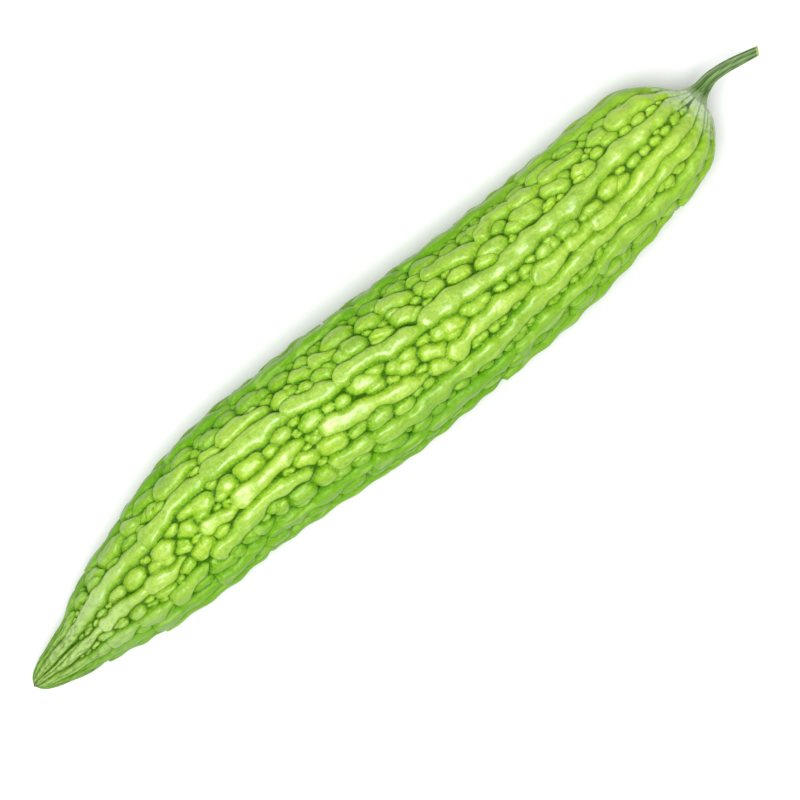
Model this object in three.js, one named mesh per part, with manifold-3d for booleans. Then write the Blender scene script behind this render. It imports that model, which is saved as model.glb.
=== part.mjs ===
// A bitter gourd as picked, lying on its side: one warty, ribbed fruit and the stem it hung from.
// Millimetres, +Z up, +X from the blossom tip towards the stem. The origin is on the surface that the
// gourd lies on, under the middle of its length and width.
import * as THREE from 'three';
import { SimplifyModifier } from 'three/addons/modifiers/SimplifyModifier.js';
import { mergeVertices } from 'three/addons/utils/BufferGeometryUtils.js';
import Module from 'manifold-3d';

// Driving dimensions of the fruit. Pairs are [distance from the tip, value].
const FRUIT_LENGTH = 302;
const CREST_RADIUS = [
  [0, 0], [1.5, 2.4], [5, 4.9], [13, 7.8], [22, 10.2], [30, 12.9], [39, 15.9], [48, 18.4], [58, 20.2],
  [70, 22.6], [85, 24.2], [102, 25.5], [126, 26.5], [150, 27.8], [186, 26.9], [228, 25.6], [251, 24.3],
  [270, 23.2], [280, 22.2], [288, 19.9], [292, 16.6], [296, 12.2], [299, 7.6], [FRUIT_LENGTH, 4.6],
];
const SHOULDER = [ // how much fuller it is on its -Y side just before the stem
  [280, 0], [288, 0.5], [292, 1.4], [296, 2.4], [299, 4.2], [301, 3.2], [FRUIT_LENGTH, 0],
];
const SPINE_SIDEWAYS = [
  [0, 0], [22, -0.1], [38, 1.5], [60, 2.6], [82, 4.3], [102, 5.0], [126, 3.2], [150, 1.0], [186, -1.4],
  [228, -3.3], [251, -2.4], [270, -1.5], [288, -0.7], [FRUIT_LENGTH, 0.9],
];
const SPINE_HEIGHT = [
  [0, 13.0], [50, 20.5], [100, 25.2], [150, 27.4], [230, 25.3], [280, 24.0], [FRUIT_LENGTH, 25.0],
];
const RESTING_FLAT = 0.8; // how far the lowest ribs are pressed flat where the fruit lies

// Relief of the skin, for a fruit of full width. All of it shrinks where the fruit is narrower.
const FULL_RADIUS = 22;
const LEAST_SIZE = 0.12;
const VALLEY_DEPTH = 3.3;
const RIB_HEIGHT = 3.3;
const WART_HEIGHT = 3.0;
const WART_RADIUS = 3.9;
const SMALLEST_WART = 1.5;
const CREASE_SOFTNESS = 0.3;
const CREASE_WIDTH = 0.7;
const CREASE_BLEND = 0.8;
const TOP_WIDTH = 0.85; // a swelling is at its full height this many half widths in from its crease
const SEAM_DEPTH = 0.42; // the share of the height lost where two lobes of one swelling meet
const SEAM_WIDTH = 0.8;
const TIP_FADE = 42; // the relief grows over this length from the tip
const TIP_SHARE = 0.20; // from this share of itself
const STEM_FADE = 16; // and dies away over this length at the stem
const STEM_SHARE = 0.14; // to this share
const TIP_GROWTH = 0.8; // powers: below 1 it changes fastest at the very end
const STEM_GROWTH = 0.7;

// How the ribs and warts are laid out. Lengths are on the skin, round the fruit or along it.
const LAYOUT_SEED = 20417;
const MEAN_RADIUS = 27;
const RIB_NARROWING = 0.6;
const RIB_WIDTH_SPREAD = [0.95, 1.08]; // the least and the most that a length of rib varies to
const RIB_HEIGHT_SPREAD = [0.92, 1.08];
const WANDER_WAVE = [24, 40]; // the shortest and the longest that a wave may be
const WIGGLE_WAVE = [9, 14];
const SWELL_WAVE = [17, 27];
const RIPPLE_WAVE = [7, 11];
const ROLL_WAVE = [9, 17];
const RIB_WANDER = 0.7; // how far a rib's own line strays
const RIB_WIGGLE = 0.35;
const RIB_LEAN = 1.6;
const RIB_SWELL = 0.13; // shares of a rib's width or height
const RIB_RIPPLE = 0.09;
const HEAD_SWELL = 0.12;
const TAIL_SLIMNESS = 0.3;
const RIB_ROLL = 0.10;
const TAIL_FALL = 0.22;
const TAIL_LENGTH = 9;
const TAIL_STRETCH = 1.2;
const HEAD_OVERLAP = 0.8;
const HEAD_STEEPNESS = 1.8;
const HEAD_LENGTH = 3.5;
const WART_FILL = [0.75, 1.05]; // of the bare room that it stands in
const WART_STRETCH = 1.25;
const WART_LENGTH = [0, 0.6]; // half lengths and steps are in half widths
const WART_SLANT = [-0.9, 0.4];
const WART_HEIGHT_SPREAD = [0.85, 1.1];
const LOWEST_WART = 0.45; // the height of the narrowest, as a share of the widest
const LOBED_SHARE = 0.5; // of the warts have a second lobe, and of those a third
const MOST_LOBES = 3;
const LOBE_WAY = [-1.5, 1.5];
const LOBE_STEP = 1.15;
const LOBE_SLIP = 0.6;
const LOBE_SIZE = [0.6, 0.9]; // the next lobe against the first
const LOBE_LENGTH = 0.3;
const LOBE_HEIGHT = [0.8, 1.0];
const LOBE_REACH = 14; // how far a lobe can matter, beyond its ends
const WART_REACH = 42; // and how far round its middle a whole wart can
const FAR_OFF = 12; // longer distances count as this
const PLACE_STEP = 1.2; // where warts can stand: one place this far along from the next
const PLACES_ROUND = 144;
const FIRST_PLACE = 4;
const LAST_PLACE = 298;
const RIB_POINT_STEP = 60;

// The ribs that show from above. angle: [distance from the tip, degrees from the top towards +Y].
// lengths: where each unbroken length of the rib starts and ends.
const UPPER_RIBS = [
  {
    halfWidth: 4.4,
    angle: [[0, 76], [50, 80], [100, 74], [150, 68], [200, 76], [250, 74], [302, 68]],
    lengths: [[0, 40], [42, 64], [64, 86], [87, 112], [114, 166], [168, 186], [187, 238], [239, 302]],
  },
  {
    halfWidth: 3.4,
    angle: [[0, 52], [50, 56], [80, 48], [105, 39], [135, 38], [160, 43], [195, 43], [213, 41], [222, 50],
      [245, 46], [270, 42], [302, 42]],
    lengths: [[0, 28], [47, 60], [61, 70], [78, 94], [104, 121], [142, 151], [172, 183], [190, 213],
      [213, 229], [230, 243], [243, 258], [272, 302]],
  },
  {
    halfWidth: 3.8,
    angle: [[0, 29], [50, 26.5], [85, 26], [115, 22], [135, 21], [150, 16], [172, 14], [200, 11.5],
      [240, 11.5], [268, 14], [302, 18]],
    lengths: [[0, 64], [64, 94], [94, 126], [126, 147], [147, 181], [181, 302]],
  },
  {
    halfWidth: 3.3,
    angle: [[0, -3], [30, -6], [55, -12], [85, -12], [110, -8], [132, -5], [148, -10], [166, -20],
      [185, -17], [215, -14], [250, -16], [280, -15], [302, -12]],
    lengths: [[0, 33], [33, 54], [54, 69], [81, 96], [96, 125], [133, 171], [182, 219], [219, 234],
      [234, 245], [245, 302]],
  },
  {
    halfWidth: 3.6,
    angle: [[0, -34], [50, -42], [78, -35], [97, -27], [115, -26], [130, -34], [165, -39], [200, -36],
      [230, -28], [250, -29], [280, -28], [302, -30]],
    lengths: [[0, 30], [30, 43], [43, 57], [57, 72], [78, 120], [129, 146], [146, 302]],
  },
  {
    halfWidth: 3.4,
    angle: [[0, -62], [50, -66], [95, -58], [135, -58], [160, -64], [200, -57], [235, -49], [280, -52],
      [302, -50]],
    lengths: [[0, 45], [46, 70], [72, 92], [96, 140], [141, 160], [162, 200], [201, 235], [236, 302]],
  },
];
// The ribs of the underside, in degrees from the top. The fruit lies on the pair either side of 180.
const UNDERSIDE_RIBS = [-84, -112, -140, -167, 167, 144, 121, 98];
const RESTING_ANGLE = 160;
const UNDERSIDE_WANDER = 5; // degrees either way
const UNDERSIDE_WIDTH = [3.2, 3.8];
const SHORTEST_LENGTH = 18;
const LONGEST_LENGTH = 32; // at the tip, and more by this share of the distance from it
const LENGTH_GROWTH = 0.3;
const BREAK_SHARE = 0.3; // of the lengths are followed by a bare gap
const BREAK_GAP = [5, 9];
const LAST_HEAD = 268; // no length of these ends between here and the stem

// Driving dimensions of the stem. Pairs are again [distance from the tip, value].
const STEM_START = FRUIT_LENGTH + 0.4;
const STEM_END = 328;
const STEM_RADIUS = [
  [STEM_START, 4.1], [304.7, 3.0], [309.4, 2.3], [314, 2.0], [320.7, 1.8], [STEM_END, 1.45],
];
const STEM_SIDEWAYS = [
  [STEM_START, 0.95], [305.5, 1.6], [310, 2.4], [315, 2.0], [321, 0.6], [STEM_END, -1.4],
];
const STEM_HEIGHT = [[STEM_START, 25.0], [309.4, 25.4], [318, 26.6], [STEM_END, 28.0]];
const STEM_RIDGES = 6;
const RIDGE_HEIGHT = 0.12; // of the stem's radius
const CUT_SLANT = 0.3;
const CUT_NEARNESS = 8; // the slant dies away from the cut by this power

// Fineness of the surfaces.
const FRUIT_ROWS = 430;
const FRUIT_COLUMNS = 220;
const END_CROWDING = 0.08; // rows are closer together at the ends
const FRUIT_TRIANGLES = 11400;
const STEM_ROWS = 26;
const STEM_COLUMNS = 24;
const SURFACE_SIZE = 400; // of the block that stands for the surface under the fruit
const ROUND = 2 * Math.PI;

// A smooth line through hand-placed points: a cubic between neighbours, level with their mean slope.
function smoothLine(points, x) {
  const last = points.length - 1;
  const at = Math.min(Math.max(x, points[0][0]), points[last][0]);
  let i = 0;
  while (i < last - 1 && at >= points[i + 1][0]) i += 1;
  const slope = (k) => (points[k + 1][1] - points[k][1]) / (points[k + 1][0] - points[k][0]);
  const before = i === 0 ? slope(0) : (slope(i - 1) + slope(i)) / 2;
  const after = i === last - 1 ? slope(i) : (slope(i) + slope(i + 1)) / 2;
  const width = points[i + 1][0] - points[i][0];
  const t = (at - points[i][0]) / width;
  return points[i][1] * (1 + 2 * t) * (1 - t) ** 2 + before * width * t * (1 - t) ** 2
    + points[i + 1][1] * t * t * (3 - 2 * t) + after * width * t * t * (t - 1);
}

// Numbers drawn evenly between two limits, the same ones every time for the same seed.
function randomDraws(seed) {
  let state = seed;
  return (low, high) => {
    state = (state * 16807) % 2147483647;
    return low + ((high - low) * state) / 2147483647;
  };
}

const radians = (degrees) => (degrees * Math.PI) / 180;
const clamp = (x, low, high) => Math.min(Math.max(x, low), high);
const crestRadius = (s) => smoothLine(CREST_RADIUS, s);
const narrowing = (s) => clamp(crestRadius(s) / FULL_RADIUS, LEAST_SIZE, 1);

// The shortest way round from one angle to another.
function turn(angle) {
  return angle - ROUND * Math.floor((angle + Math.PI) / ROUND);
}

// A quarter circle that rises from 0 at 0 to 1 at 1 and stays there.
const roundOver = (t) => Math.sqrt(1 - (1 - clamp(t, 0, 1)) ** 2);

// A sine wave along the fruit.
const wave = (s, { length, phase }) => Math.sin((ROUND * s) / length + phase);
const drawWave = (limits, draw) => ({ length: draw(...limits), phase: draw(0, ROUND) });

// A rib of the underside wanders a little and breaks into lengths that grow towards the stem.
function undersideRib(degrees, draw) {
  const angle = [];
  const carries = Math.abs(degrees) > RESTING_ANGLE;
  for (let s = 0; s <= FRUIT_LENGTH; s += RIB_POINT_STEP) {
    angle.push([s, degrees + (carries ? 0 : draw(-UNDERSIDE_WANDER, UNDERSIDE_WANDER))]);
  }
  const lengths = [];
  let start = 0;
  while (start < FRUIT_LENGTH - RIB_POINT_STEP) {
    const end = Math.min(start + draw(SHORTEST_LENGTH, LONGEST_LENGTH + LENGTH_GROWTH * start), LAST_HEAD);
    const broken = draw(0, 1) < BREAK_SHARE;
    lengths.push([start, end]);
    start = end + (broken ? draw(...BREAK_GAP) : 0);
  }
  lengths.push([start, FRUIT_LENGTH]);
  return { angle, lengths, halfWidth: draw(...UNDERSIDE_WIDTH) };
}

// A swelling of the skin, a rib or a wart, is a list of lobes. One length of a rib is a long lobe: its
// head, nearer the tip, is blunt and steep, and its tail runs thin and low under the next head. It leans
// a little across the rib's own line.
function ribLobe([first, last], rib, waves, draw) {
  const slim = narrowing(first) ** RIB_NARROWING;
  const start = first === 0 ? 0 : first + HEAD_OVERLAP * rib.halfWidth * slim;
  const lean = draw(-RIB_LEAN, RIB_LEAN);
  const width = rib.halfWidth * draw(...RIB_WIDTH_SPREAD);
  const height = RIB_HEIGHT * draw(...RIB_HEIGHT_SPREAD);
  const roll = drawWave(ROLL_WAVE, draw);
  const along = (s) => (s - start) / (last - start);
  const tail = (s) => (last === FRUIT_LENGTH ? 0 : clamp(1 - (last - s) / TAIL_LENGTH, 0, 1) ** 2);
  const strayed = (s) => RIB_WANDER * wave(s, waves.wander) + RIB_WIGGLE * wave(s, waves.wiggle)
    + lean * (0.5 - along(s));
  return {
    start,
    end: last,
    angleAt: (s) => radians(smoothLine(rib.angle, s)) + (strayed(s) * narrowing(s)) / MEAN_RADIUS,
    widthAt: (s) => width * narrowing(s) ** RIB_NARROWING
      * (1 + RIB_SWELL * wave(s, waves.swell) + RIB_RIPPLE * wave(s, waves.ripple)
        + HEAD_SWELL * (1 - 2 * along(s)) - TAIL_SLIMNESS * tail(s)),
    heightAt: (s) => height * (1 + RIB_ROLL * wave(s, roll) - TAIL_FALL * tail(s)),
    steepAt: (s) => (first === 0 ? 1 : 1 + HEAD_STEEPNESS * Math.exp((start - s) / HEAD_LENGTH)),
    beforeStretch: 1,
    afterStretch: TAIL_STRETCH,
    fullWidth: width,
  };
}

// A short lobe, longer than it is wide by twice its half length, lying a little aslant.
function wartLobe(s, angle, halfWidth, halfLength, slant, height) {
  const radius = crestRadius(s);
  return {
    start: s - halfLength,
    end: s + halfLength,
    angleAt: (at) => angle + (slant * (at - s)) / radius,
    widthAt: (at) => halfWidth * narrowing(at),
    heightAt: () => height,
    steepAt: () => 1,
    beforeStretch: WART_STRETCH,
    afterStretch: WART_STRETCH,
    fullWidth: halfWidth,
  };
}

// A wart is higher the wider it is. Half of them have a smaller lobe grown into them, or two.
function wart(s, angle, halfWidth, draw) {
  const scale = narrowing(s);
  const halfLength = halfWidth * draw(...WART_LENGTH) * scale;
  const slant = draw(...WART_SLANT);
  const full = LOWEST_WART + ((1 - LOWEST_WART) * halfWidth) / WART_RADIUS;
  const height = WART_HEIGHT * full * draw(...WART_HEIGHT_SPREAD);
  const lobes = [wartLobe(s, angle, halfWidth, halfLength, slant, height)];
  while (lobes.length < MOST_LOBES && draw(0, 1) < LOBED_SHARE) {
    const way = draw(...LOBE_WAY);
    const side = draw(0, 1) < 0.5 ? 1 : -1;
    const step = side * LOBE_STEP * halfWidth * scale;
    const size = draw(...LOBE_SIZE);
    lobes.push(wartLobe(
      s + Math.cos(way) * step + LOBE_SLIP * side * halfLength,
      angle + (Math.sin(way) * step) / crestRadius(s),
      halfWidth * size,
      LOBE_LENGTH * halfLength,
      slant,
      height * draw(...LOBE_HEIGHT),
    ));
  }
  return lobes;
}

// How far a place on the skin is outside a lobe's outline; inside it, the distance is negative.
function distanceTo(lobe, s, angle, radius) {
  const nearest = clamp(s, lobe.start, lobe.end);
  const along = (s - nearest) / (s < nearest ? lobe.beforeStretch : lobe.afterStretch);
  const across = radius * turn(angle - lobe.angleAt(nearest));
  return (Math.hypot(along, across) - lobe.widthAt(nearest)) * lobe.steepAt(nearest);
}

// Warts fill what the ribs leave bare: the widest bare place gets the next wart, as large as fits there,
// until only slits are left.
function addWarts(swellings, draw) {
  const places = [];
  for (let s = FIRST_PLACE; s < LAST_PLACE; s += PLACE_STEP) {
    const radius = crestRadius(s);
    const scale = Math.sqrt(narrowing(s));
    for (let column = 0; column < PLACES_ROUND; column += 1) {
      places.push({ s, angle: (ROUND * column) / PLACES_ROUND - Math.PI, radius, scale, room: Infinity });
    }
  }
  const fill = (place, swelling) => {
    for (const lobe of swelling) {
      place.room = Math.min(place.room, distanceTo(lobe, place.s, place.angle, place.radius));
    }
  };
  for (const place of places) {
    for (const swelling of swellings) {
      fill(place, swelling);
    }
  }
  const score = (place) => Math.round((place.room / place.scale) * 1e4);
  for (;;) {
    const widest = places.reduce((best, place) => (score(place) > score(best) ? place : best));
    const room = widest.room / widest.scale;
    if (room < SMALLEST_WART) return;
    const halfWidth = Math.min(room, WART_RADIUS) * draw(...WART_FILL);
    const added = wart(widest.s, widest.angle, halfWidth, draw);
    swellings.push(added);
    for (const place of places) {
      if (Math.abs(place.s - widest.s) < WART_REACH) fill(place, added);
    }
  }
}

// Every swelling of the skin, the ribs first.
function layOutSwellings() {
  const draw = randomDraws(LAYOUT_SEED);
  const ribs = [...UPPER_RIBS];
  for (const degrees of UNDERSIDE_RIBS) {
    ribs.push(undersideRib(degrees, draw));
  }
  const swellings = [];
  for (const rib of ribs) {
    const waves = {
      wander: drawWave(WANDER_WAVE, draw),
      wiggle: drawWave(WIGGLE_WAVE, draw),
      swell: drawWave(SWELL_WAVE, draw),
      ripple: drawWave(RIPPLE_WAVE, draw),
    };
    swellings.push(rib.lengths.map((ends) => ribLobe(ends, rib, waves, draw)));
  }
  addWarts(swellings, draw);
  return swellings;
}

// Of one swelling at one place: the distance to its nearest lobe, that lobe's height there and its width.
// Where two lobes meet, the height dips by how little nearer the one is than the other.
function nearestLobe(swelling, s, angle, radius) {
  let closest = FAR_OFF;
  let second = FAR_OFF;
  let owner = null;
  for (const lobe of swelling) {
    if (s < lobe.start - LOBE_REACH || s > lobe.end + LOBE_REACH) continue;
    const distance = clamp(distanceTo(lobe, s, angle, radius), -FAR_OFF, FAR_OFF);
    second = Math.min(second, Math.max(closest, distance));
    if (distance < closest) {
      closest = distance;
      owner = lobe;
    }
  }
  if (!owner) return { distance: FAR_OFF, height: 0, width: 1 };
  const apart = (second - closest) / 2 / (SEAM_WIDTH * Math.sqrt(narrowing(s)));
  const dip = SEAM_DEPTH * (1 - roundOver(apart));
  const height = owner.heightAt(clamp(s, owner.start, owner.end)) * (1 - dip);
  return { distance: closest, height, width: owner.fullWidth };
}

// Height of the skin over its valleys. A place belongs to its nearest swelling. It rises from the crease
// round that swelling to a round top, by how far it is from the next one and from its own edge.
function reliefAt(swellings, s, angle, radius) {
  const scale = Math.sqrt(narrowing(s));
  const softness = CREASE_SOFTNESS * scale;
  let nearest = { distance: FAR_OFF, height: 0, width: 1 };
  let sum = 0;
  for (const swelling of swellings) {
    const found = nearestLobe(swelling, s, angle, radius);
    sum += Math.exp(-(found.distance + FAR_OFF) / softness);
    if (found.distance < nearest.distance) nearest = found;
  }
  const others = Math.max(sum - Math.exp(-(nearest.distance + FAR_OFF) / softness), 1e-300);
  const toNeighbour = (-softness * Math.log(others) - FAR_OFF - nearest.distance) / 2;
  const toEdge = CREASE_WIDTH * scale - nearest.distance;
  const blend = CREASE_BLEND * scale;
  const mix = clamp(0.5 + (0.5 * (toEdge - toNeighbour)) / blend, 0, 1);
  const inside = toEdge * (1 - mix) + toNeighbour * mix - blend * mix * (1 - mix);
  return nearest.height * roundOver(inside / (TOP_WIDTH * nearest.width * scale));
}

// The relief is shallow at the tip, where the ribs run together, and again round the stem.
function reliefShare(s) {
  const fromTip = clamp(s / TIP_FADE, 0, 1);
  const fromStem = clamp((FRUIT_LENGTH - s) / STEM_FADE, 0, 1);
  return (TIP_SHARE + (1 - TIP_SHARE) * fromTip ** TIP_GROWTH)
    * (STEM_SHARE + (1 - STEM_SHARE) * fromStem ** STEM_GROWTH);
}

function shoulder(s, angle) {
  return smoothLine(SHOULDER, s) * (0.5 - 0.5 * Math.sin(angle));
}

// An upright frame across a spine at one place: the point itself, and the directions sideways and along.
function crossFrame(sideways, height, s) {
  const step = 0.5;
  const low = Math.max(s - step, sideways[0][0]);
  const high = Math.min(s + step, sideways[sideways.length - 1][0]);
  const slope = (smoothLine(sideways, high) - smoothLine(sideways, low)) / (high - low);
  const centre = new THREE.Vector3(s, smoothLine(sideways, s), smoothLine(height, s));
  const side = new THREE.Vector3(-slope, 1, 0).normalize();
  return { centre, side, along: new THREE.Vector3(1, slope, 0).normalize() };
}

// A closed tube: rings of points from pointAt(row, column), and a point in the middle of each end.
function closedTube(rows, columns, pointAt, firstPoint, lastPoint) {
  const positions = [];
  const triangles = [];
  for (let row = 0; row < rows; row += 1) {
    for (let column = 0; column < columns; column += 1) {
      positions.push(...pointAt(row, column).toArray());
    }
  }
  positions.push(...firstPoint.toArray(), ...lastPoint.toArray());
  const first = rows * columns;
  const ring = (row, column) => row * columns + (column % columns);
  for (let column = 0; column < columns; column += 1) {
    for (let row = 0; row < rows - 1; row += 1) {
      triangles.push(ring(row, column), ring(row + 1, column), ring(row, column + 1));
      triangles.push(ring(row, column + 1), ring(row + 1, column), ring(row + 1, column + 1));
    }
    triangles.push(first, ring(0, column), ring(0, column + 1));
    triangles.push(first + 1, ring(rows - 1, column + 1), ring(rows - 1, column));
  }
  const geometry = new THREE.BufferGeometry();
  geometry.setAttribute('position', new THREE.Float32BufferAttribute(positions, 3));
  geometry.setIndex(triangles);
  return geometry;
}

const wasm = await Module();
wasm.setup();

// A closed geometry as a solid for cutting.
function solidOf(geometry) {
  const bare = geometry.clone();
  bare.deleteAttribute('normal');
  bare.deleteAttribute('uv');
  const merged = mergeVertices(bare, 1e-5);
  return new wasm.Manifold(new wasm.Mesh({
    numProp: 3,
    vertProperties: new Float32Array(merged.getAttribute('position').array),
    triVerts: new Uint32Array(merged.getIndex().array),
  }));
}

// What is left of a geometry above the surface that the gourd lies on, with flat spots where it is cut.
function restOnSurface(geometry) {
  const surface = new THREE.BoxGeometry(2 * SURFACE_SIZE, SURFACE_SIZE, SURFACE_SIZE);
  surface.translate(0, 0, -SURFACE_SIZE / 2);
  const mesh = solidOf(geometry).subtract(solidOf(surface)).getMesh();
  const cut = new THREE.BufferGeometry();
  cut.setAttribute('position', new THREE.Float32BufferAttribute(mesh.vertProperties, 3));
  cut.setIndex(new THREE.Uint32BufferAttribute(mesh.triVerts, 1));
  return cut;
}

// The fruit: rings across its spine, each as far out as its skin stands there, thinned to the facets
// that its ribs and warts need, and pressed flat where it lies.
async function makeFruit() {
  const swellings = layOutSwellings();
  const frames = [];
  for (let row = 0; row < FRUIT_ROWS; row += 1) {
    const even = (row + 1) / FRUIT_ROWS;
    const s = FRUIT_LENGTH * (even - END_CROWDING * Math.sin(ROUND * even));
    frames.push({ s, ...crossFrame(SPINE_SIDEWAYS, SPINE_HEIGHT, s) });
  }
  const pointAt = (row, column) => {
    const { s, centre, side } = frames[row];
    const angle = (ROUND * column) / FRUIT_COLUMNS;
    const crest = crestRadius(s);
    const relief = reliefShare(s) * (reliefAt(swellings, s, angle, crest) - VALLEY_DEPTH);
    const skin = crest + shoulder(s, angle) + relief;
    const point = centre.clone().addScaledVector(side, skin * Math.sin(angle));
    point.z += skin * Math.cos(angle) - RESTING_FLAT;
    return point;
  };
  const tip = new THREE.Vector3(0, 0, SPINE_HEIGHT[0][1] - RESTING_FLAT);
  const end = frames[FRUIT_ROWS - 1].centre.clone();
  end.z -= RESTING_FLAT;
  const fine = closedTube(FRUIT_ROWS, FRUIT_COLUMNS, pointAt, tip, end);
  const vertices = fine.getAttribute('position').count;
  const kept = FRUIT_TRIANGLES / 2 + 2;
  return restOnSurface(await new SimplifyModifier().modify(fine, vertices - kept));
}

// The stem: a bent, ridged tube that flares where it meets the fruit and ends in a slanting cut.
function makeStem() {
  const pointAt = (row, column) => {
    const even = row / (STEM_ROWS - 1);
    const s = STEM_START + (STEM_END - STEM_START) * even;
    const { centre, side, along } = crossFrame(STEM_SIDEWAYS, STEM_HEIGHT, s);
    const angle = (ROUND * column) / STEM_COLUMNS;
    const ridged = 1 + RIDGE_HEIGHT * Math.cos(STEM_RIDGES * angle);
    const radius = smoothLine(STEM_RADIUS, s) * ridged;
    const point = centre.clone().addScaledVector(side, radius * Math.sin(angle));
    point.addScaledVector(along, CUT_SLANT * radius * Math.sin(angle) * even ** CUT_NEARNESS);
    point.z += radius * Math.cos(angle) - RESTING_FLAT;
    return point;
  };
  const foot = crossFrame(STEM_SIDEWAYS, STEM_HEIGHT, STEM_START).centre;
  const cut = crossFrame(STEM_SIDEWAYS, STEM_HEIGHT, STEM_END).centre;
  foot.z -= RESTING_FLAT;
  cut.z -= RESTING_FLAT;
  return closedTube(STEM_ROWS, STEM_COLUMNS, pointAt, foot, cut);
}

const fruitSkin = new THREE.MeshStandardMaterial({ color: 0x9bcb3e, roughness: 0.42, metalness: 0 });
const stemSkin = new THREE.MeshStandardMaterial({ color: 0x6f8b46, roughness: 0.6, metalness: 0 });

const fruit = new THREE.Mesh(await makeFruit(), fruitSkin);
fruit.name = 'fruit';
const stem = new THREE.Mesh(makeStem(), stemSkin);
stem.name = 'stem';

// The two pieces share one place, moved so that the origin is under the middle of the whole gourd.
const gourd = new THREE.Group();
gourd.add(fruit, stem);
const extent = new THREE.Box3().setFromObject(gourd);
gourd.position.set(-(extent.min.x + extent.max.x) / 2, -(extent.min.y + extent.max.y) / 2, 0);

export default gourd;
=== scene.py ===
"""A whole bitter gourd lying on its side, seen from straight above.

The sections follow the object: the camera and the light, the fruit with its ribs and warts, the stem,
and the pale surface that it lies on. Lengths are worked out in millimetres and placed in metres.
"""

import math

import bpy
import numpy as np
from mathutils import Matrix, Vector


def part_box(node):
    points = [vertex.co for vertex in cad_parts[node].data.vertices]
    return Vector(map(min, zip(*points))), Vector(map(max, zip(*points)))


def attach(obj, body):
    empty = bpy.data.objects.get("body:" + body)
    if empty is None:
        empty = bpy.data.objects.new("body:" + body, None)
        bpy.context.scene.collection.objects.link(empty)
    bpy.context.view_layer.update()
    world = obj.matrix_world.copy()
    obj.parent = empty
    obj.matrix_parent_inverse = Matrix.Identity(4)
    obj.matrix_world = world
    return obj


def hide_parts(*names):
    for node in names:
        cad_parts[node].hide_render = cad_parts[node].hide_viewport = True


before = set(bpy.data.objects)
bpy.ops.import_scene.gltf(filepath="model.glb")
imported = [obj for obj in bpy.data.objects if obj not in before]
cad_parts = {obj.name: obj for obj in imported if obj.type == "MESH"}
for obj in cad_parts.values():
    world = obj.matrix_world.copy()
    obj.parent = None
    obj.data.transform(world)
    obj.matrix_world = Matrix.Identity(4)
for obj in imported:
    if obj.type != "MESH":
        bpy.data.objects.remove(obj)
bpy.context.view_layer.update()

# Camera and light
# A camera looks straight down, turned so that the fruit lies from lower left to upper right. One broad
# soft light hangs high over it, a little towards the tip and the -Y side, and a pale sky fills the rest.
MM = 0.001
FRUIT_TURN = 41.5  # degrees that the fruit's length rises across the picture
PICTURE_WIDTH = 272.8 * MM
LENS, SENSOR = 135.0, 36.0
MIDDLE_ALONG, MIDDLE_SIDEWAYS = 159.2, -10.3  # what the picture's middle looks at, from the fruit's tip
MIDDLE_HEIGHT = 18.0 * MM
LIGHT_PLACE, LIGHT_SIZE, LIGHT_POWER = (-0.22, -0.10, 1.36), 0.80, 26.2
LIGHT_COLOUR = (0.97, 0.985, 1.0)
SKY_STRENGTH = 0.35

fruit_low, fruit_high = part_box("fruit")
tip_x = fruit_low[0]
look_at = Vector((tip_x + MIDDLE_ALONG * MM, MIDDLE_SIDEWAYS * MM, MIDDLE_HEIGHT))

camera_data = bpy.data.cameras.new("camera")
camera_data.lens = LENS
camera_data.sensor_width = SENSOR
camera = bpy.data.objects.new("camera", camera_data)
camera.location = look_at + Vector((0, 0, PICTURE_WIDTH * LENS / SENSOR))
camera.rotation_euler = (0, 0, math.radians(-FRUIT_TURN))
bpy.context.scene.collection.objects.link(camera)
bpy.context.scene.camera = camera

light_data = bpy.data.lights.new("soft_box", "AREA")
light_data.size = LIGHT_SIZE
light_data.energy = LIGHT_POWER
light_data.color = LIGHT_COLOUR
light = bpy.data.objects.new("soft_box", light_data)
light.location = LIGHT_PLACE
light.rotation_euler = (look_at - Vector(LIGHT_PLACE)).to_track_quat("-Z", "Y").to_euler()
bpy.context.scene.collection.objects.link(light)

world = bpy.data.worlds.new("pale_sky")
world.use_nodes = True
world.node_tree.nodes["Background"].inputs["Color"].default_value = (1.0, 1.0, 1.0, 1.0)
world.node_tree.nodes["Background"].inputs["Strength"].default_value = SKY_STRENGTH
bpy.context.scene.world = world
bpy.context.scene.view_settings.view_transform = "Standard"

# Fruit
# The gourd itself, one grown body of firm living flesh under a waxy green skin. Fourteen long ribs run
# from the blossom tip to the stem, broken into lengths whose blunt heads lie over the tails before them,
# and round warts crowd all the skin between. Pairs of numbers are a distance from the tip and a value.
FRUIT_LENGTH = 302.0
CREST_RADIUS = [
    (0, 0), (1.5, 2.4), (5, 4.9), (13, 7.8), (22, 10.2), (30, 12.9), (39, 15.9), (48, 18.4), (58, 20.2),
    (70, 22.6), (85, 24.2), (102, 25.5), (126, 26.5), (150, 27.8), (186, 26.9), (228, 25.6), (251, 24.3),
    (270, 23.2), (280, 22.2), (288, 19.9), (292, 16.6), (296, 12.2), (299, 7.6), (302, 4.6)]
SHOULDER = [(280, 0), (288, 0.5), (292, 1.4), (296, 2.4), (299, 4.2), (301, 3.2), (302, 0)]
SPINE_SIDEWAYS = [
    (0, 0), (22, -0.1), (38, 1.5), (60, 2.6), (82, 4.3), (102, 5.0), (126, 3.2), (150, 1.0), (186, -1.4),
    (228, -3.3), (251, -2.4), (270, -1.5), (288, -0.7), (302, 0.9)]
SPINE_HEIGHT = [(0, 13.0), (50, 20.5), (100, 25.2), (150, 27.4), (230, 25.3), (280, 24.0), (302, 25.0)]
RESTING_FLAT = 0.8  # how far the lowest ribs are pressed flat where the fruit lies

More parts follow.
